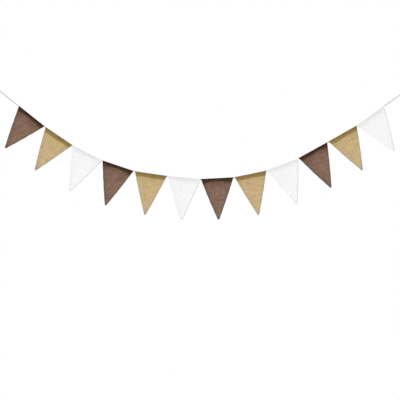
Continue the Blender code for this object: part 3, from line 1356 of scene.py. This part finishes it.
    def sewing_lines(self, grid: ClothGrid) -> list[tuple[Array, Array, float]]:
        """Where the thread runs: the seam, in front and behind, and each side's hem, on both of its faces.

        Args:
            grid: The cloth that it runs on.

        Returns:
            For each line its grid rows, its grid columns, and 1 for the outer face or -1 for the inner one.
        """
        depth, turn, share = self.rows()
        rows, columns = grid.from_side.shape
        in_front = np.flatnonzero(turn == 0)[::-1]
        front = np.interp(self.seam_depth + self.stitches_below_seam, depth[in_front], in_front)
        behind = int(np.argmax(share > 0)) - 0.1
        across = np.linspace(0.8, columns - 1.8, 400)
        lines = [(np.full_like(across, row), across, 1.0) for row in (front, behind)]
        at_hem = float(np.interp(self.stitches_from_side, grid.from_side[rows // 2, :9], np.arange(9)))
        down = np.linspace(4.0, front - 0.6, 500)
        for column in (at_hem, columns - 1 - at_hem):
            lines += [(down, np.full_like(down, column), face) for face in (1.0, -1.0)]
        return lines

    def sewing(self, grid: ClothGrid, material: Material) -> Object:
        """Stitches along the sewing lines, each a short thread that rises from the cloth and dives back in.

        Args:
            grid: The cloth they go through.
            material: The thread.

        Returns:
            One piece with all of the pennant's stitches.
        """
        parts = MeshParts()
        sides = self.thread_sides
        ring = np.arange(sides) * math.tau / sides
        steps = np.array([0.06, 0.24, 0.66, 0.84])
        heights = np.array([-0.00016, 0.00013, 0.00013, -0.00016])
        sizes = np.array([0.55, 1.0, 1.0, 0.55]) * self.thread_radius
        for rows, columns, face in self.sewing_lines(grid):
            normal = grid.between(grid.normal, rows, columns) * face
            lifted = face * grid.between(grid.outer if face > 0 else grid.inner, rows, columns)
            line = grid.between(grid.middle, rows, columns) + normal * lifted[:, None]
            along = distances(line)
            count = int(along[-1] / self.stitch_pitch)
            places = (np.arange(count)[:, None] + steps) * along[-1] / count
            centre = read_along(places, along, line)
            rise = read_along(places, along, normal)
            side = unit(np.cross(unit(centre[:, -1] - centre[:, 0])[:, None], rise))
            points = circled(centre + rise * heights[:, None], rise, side, ring, sizes[:, None])
            index = np.arange(points[..., 0].size).reshape(count, len(steps), sides)
            wrapped = np.concatenate([index, index[..., :1]], axis=2)
            quads = np.concatenate([grid_quads(stitch) for stitch in wrapped])
            caps = np.concatenate([index[:, 0, ::-1], index[:, -1]])
            pairs = np.stack(np.broadcast_arrays(ring / math.tau, places[:, :, None]), axis=-1).reshape(-1, 2)
            uvs = [pairs[quads], pairs[caps]]
            parts.add(points, [quads, caps], uvs, hollow=np.zeros(len(pairs)))
        return parts.to_object(f"{self.hang.cloth.value}_sewing_{self.number:02d}", material)


@dataclass
class PennantRow:
    """All of the string's pennants, each on its stretch of the cord."""

    run: CordRun

    def build(self) -> list[Object]:
        """Make the three cloths and threads, and every pennant.

        Returns:
            The cloths and their sewing.
        """
        cloths = {cloth: cloth.finish.dress(f"{cloth.value}_cloth_weave") for cloth in Cloth}
        yarns = {cloth: YarnFinish(cloth.finish.thread, relief=0.00003, stain_and_fibre_shade=0.3) for cloth in Cloth}
        threads = {cloth: yarn.dress(f"{cloth.value}_thread") for cloth, yarn in yarns.items()}
        pieces = []
        for number, (hang, (start, stop)) in enumerate(zip(HANGS, self.run.casings), start=1):
            pennant = Pennant(number, hang, self.run.line[start : stop + 1])
            pieces += pennant.build(cloths[hang.cloth], threads[hang.cloth])
        return pieces


# The studio


@dataclass
class Studio:
    """A plain pale studio with soft light, and the photograph's own view.

    around is the strength of the white all round as light, and key and back those of the two lights, whose
    places count from the middle of the string.
    """

    lens: float = 135.0
    sensor: float = 36.0
    floor_height: float = -2.25
    floor_x: tuple[float, float] = (-5.0, 7.0)
    floor_y: tuple[float, float] = (-6.5, 5.0)
    floor_glow: float = 0.17
    around: float = 0.80
    key: float = 0.355
    key_place: tuple[float, float, float] = (-0.7, -3.7, 1.65)
    back: float = 0.30
    back_place: tuple[float, float, float] = (1.6, 3.4, 1.45)
    softness: float = 0.55

    def camera(self) -> None:
        """A long lens, level, square on to the string, its middle on the photograph's."""
        width = PHOTO_PIXELS * METRES_PER_PIXEL
        x = (PHOTO_PIXELS / 2 - LEFT_PIXEL_OF_ORIGIN) * METRES_PER_PIXEL
        z = (UPPER_PIXEL_OF_ORIGIN - PHOTO_PIXELS / 2) * METRES_PER_PIXEL
        lens = bpy.data.cameras.new("photograph_view")
        lens.lens = self.lens
        lens.sensor_width = self.sensor
        lens.clip_end = 60.0
        obj = placed("photograph_view", lens)
        obj.location = (x, -width * self.lens / self.sensor, z)
        obj.rotation_euler = (math.pi / 2, 0.0, 0.0)
        bpy.context.scene.camera = obj

    def world(self) -> None:
        """White all round: full white to the camera, and softer as light."""
        world = bpy.data.worlds.new("studio_white")
        bpy.context.scene.world = world
        world.use_nodes = True
        w = Wiring(world.node_tree)
        seen = w.node("Background", {"Color": (1.0, 1.0, 1.0, 1.0), "Strength": 1.0})
        lit = w.node("Background", {"Color": (1.0, 1.0, 1.0, 1.0), "Strength": self.around})
        path = w.node("LightPath")
        mixed = w.node("MixShader", {0: path.outputs["Is Camera Ray"], 1: lit.outputs[0], 2: seen.outputs[0]})
        w.node("OutputWorld", {"Surface": mixed.outputs[0]})
        bpy.context.scene.view_settings.view_transform = "Standard"

    def lamp(self, name: str, place: tuple[float, float, float], strength: float) -> None:
        """A large soft light, so far off that it lights the whole string alike.

        Args:
            name: The light's name.
            place: Where it stands, of which only the direction counts.
            strength: The brightness that it gives a white surface turned to it.
        """
        light = bpy.data.lights.new(name, "SUN")
        light.angle = self.softness
        light.energy = strength * math.pi
        obj = placed(name, light)
        obj.location = place
        flat = math.hypot(place[0], place[1])
        obj.rotation_euler = (math.atan2(flat, place[2]), 0.0, math.atan2(place[0], -place[1]))

    def floor(self) -> None:
        """A wide pale floor below the string, out of the photograph's view, with a faint glow of its own."""
        x, y = np.meshgrid(np.linspace(*self.floor_x, 25), np.linspace(*self.floor_y, 24))
        points = np.stack([x, y, self.floor_height + 0.0 * x], axis=-1)
        parts = MeshParts()
        parts.add(points, [grid_quads(np.arange(x.size).reshape(x.shape))], [grid_uvs(points[..., :2])])
        material, w = new_material("pale_paper")
        colour = w.scaled((0.9, 0.9, 0.895), w.effect(mottling_group(), w.flat(), Amount=0.01)["Tone"])
        glow = {"Emission Color": (1.0, 1.0, 1.0, 1.0), "Emission Strength": self.floor_glow}
        look = {"Base Color": colour, "Roughness": 0.95, "Specular IOR Level": 0.5}
        w.node("OutputMaterial", {"Surface": w.surface({**look, **glow})})
        parts.to_object("studio_floor", material)

    def build(self) -> None:
        """Set up the light and the floor."""
        self.world()
        self.lamp("soft_key", self.key_place, self.key)
        self.lamp("soft_back", self.back_place, self.back)
        self.floor()


def main() -> None:
    """Build the view, the cord and the pennants, and report each piece."""
    logging.basicConfig(level=logging.INFO, format="%(name)s: %(message)s")
    studio = Studio()
    studio.camera()
    run = CordRun()
    pieces = HangingCord(run).build() + PennantRow(run).build()
    studio.build()
    for piece in pieces:
        log.info("%s has %d faces", piece.name, len(piece.data.polygons))


if __name__ == "__main__":
    main()
